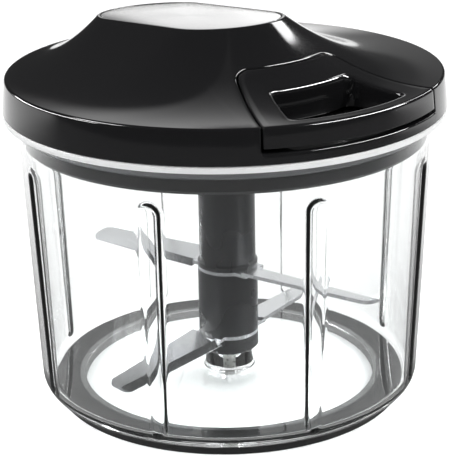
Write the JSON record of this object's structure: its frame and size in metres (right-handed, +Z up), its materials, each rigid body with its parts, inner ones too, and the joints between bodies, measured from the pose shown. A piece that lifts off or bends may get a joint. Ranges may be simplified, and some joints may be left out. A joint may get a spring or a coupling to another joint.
{
  "type": "pull-string food chopper",
  "caption": "Clear round food chopper bowl with a black lid, a pull-cord handle set in its rim, a coiled recoil reel and blades on a central stem.",
  "frame": {"origin": "middle of the base, where the non-slip ring stands on the table", "axes": "+Z up along the axis that the bowl, the stem and the reel share; the handle pulls out towards -Y"},
  "size_m": [0.1456, 0.1456, 0.1283],
  "materials": {
    "clear_plastic": "clear moulded plastic, polished",
    "black_gloss": "black moulded plastic, gloss",
    "black_plastic": "black moulded plastic, fine texture",
    "black_rubber": "soft black rubber, matt",
    "seal_rubber": "dark grey silicone rubber",
    "white_plastic": "natural white acetal",
    "stem_plastic": "dark moulded plastic",
    "brushed_steel": "stainless steel sheet, brushed along the grip",
    "blade_steel": "stainless steel sheet, ground",
    "plated_steel": "zinc-plated steel",
    "spring_steel": "blued spring steel strip",
    "cord_fibre": "white braided polyester cord"
  },
  "bodies": {
    "bowl": {"bowl": "clear_plastic", "base_ring": "black_rubber", "spindle_pin": "plated_steel"},
    "sleeve": {"pin_bush": "white_plastic"},
    "blades": {"stem_foot": "stem_plastic", "lower_blade": "blade_steel", "stem_lower": "stem_plastic", "upper_blade": "blade_steel", "stem_upper": "stem_plastic"},
    "lid": {"lid_shell": "black_gloss", "top_plate": "brushed_steel", "lid_base": "black_plastic", "lid_seal": "seal_rubber", "drive_bush": "white_plastic", "base_screws": "plated_steel", "reel_axle": "plated_steel", "axle_clip": "plated_steel", "cord_eyelet": "plated_steel", "pull_cord": "cord_fibre"},
    "drive": {"drive_cup": "white_plastic"},
    "reel": {"reel": "white_plastic", "reel_cap": "white_plastic", "reel_bush": "white_plastic", "recoil_spring": "spring_steel", "pawl_pins": "plated_steel"},
    "pawl_a": {"pawl_a": "white_plastic"},
    "pawl_b": {"pawl_b": "white_plastic"},
    "handle": {"pull_handle": "black_gloss", "handle_cover": "black_plastic", "handle_screws": "plated_steel", "cord_lead": "cord_fibre", "cord_knot": "cord_fibre", "cord_washer": "plated_steel"}
  },
  "joints": [
    {"name": "lid_lift", "type": "slide", "parent": "bowl", "child": "lid", "axis": [0, 0, 1], "range_m": [0, 0.15]},
    {"name": "blade_lift", "type": "slide", "parent": "bowl", "child": "sleeve", "axis": [0, 0, 1], "range_m": [0, 0.09]},
    {"name": "blade_spin", "type": "hinge", "parent": "sleeve", "child": "blades", "pos_m": [0, 0, 0.03], "axis": [0, 0, 1], "range_deg": [0, 925]},
    {"name": "handle_pull", "type": "slide", "parent": "lid", "child": "handle", "axis": [0, -1, 0], "range_m": [0, 0.4], "stiffness_N_per_m": 12, "springref_m": -0.25},
    {"name": "reel_spin", "type": "hinge", "parent": "lid", "child": "reel", "pos_m": [0, 0, 0.106], "axis": [0, 0, 1], "range_deg": [0, 925]},
    {"name": "drive_spin", "type": "hinge", "parent": "lid", "child": "drive", "pos_m": [0, 0, 0.093], "axis": [0, 0, 1], "range_deg": [0, 925]},
    {"name": "pawl_a_swing", "type": "hinge", "parent": "reel", "child": "pawl_a", "pos_m": [0.0125, 0, 0.0984], "axis": [0, 0, 1], "range_deg": [0, 14]},
    {"name": "pawl_b_swing", "type": "hinge", "parent": "reel", "child": "pawl_b", "pos_m": [-0.0125, 0, 0.0984], "axis": [0, 0, 1], "range_deg": [0, 14]}
  ],
  "couplings": [
    {"joint": "blade_lift", "follows": "lid_lift", "ratio": 0.6},
    {"joint": "reel_spin", "follows": "handle_pull", "rad_per_m": 40.161},
    {"joint": "drive_spin", "follows": "handle_pull", "rad_per_m": 40.161},
    {"joint": "blade_spin", "follows": "handle_pull", "rad_per_m": 40.161}
  ]
}
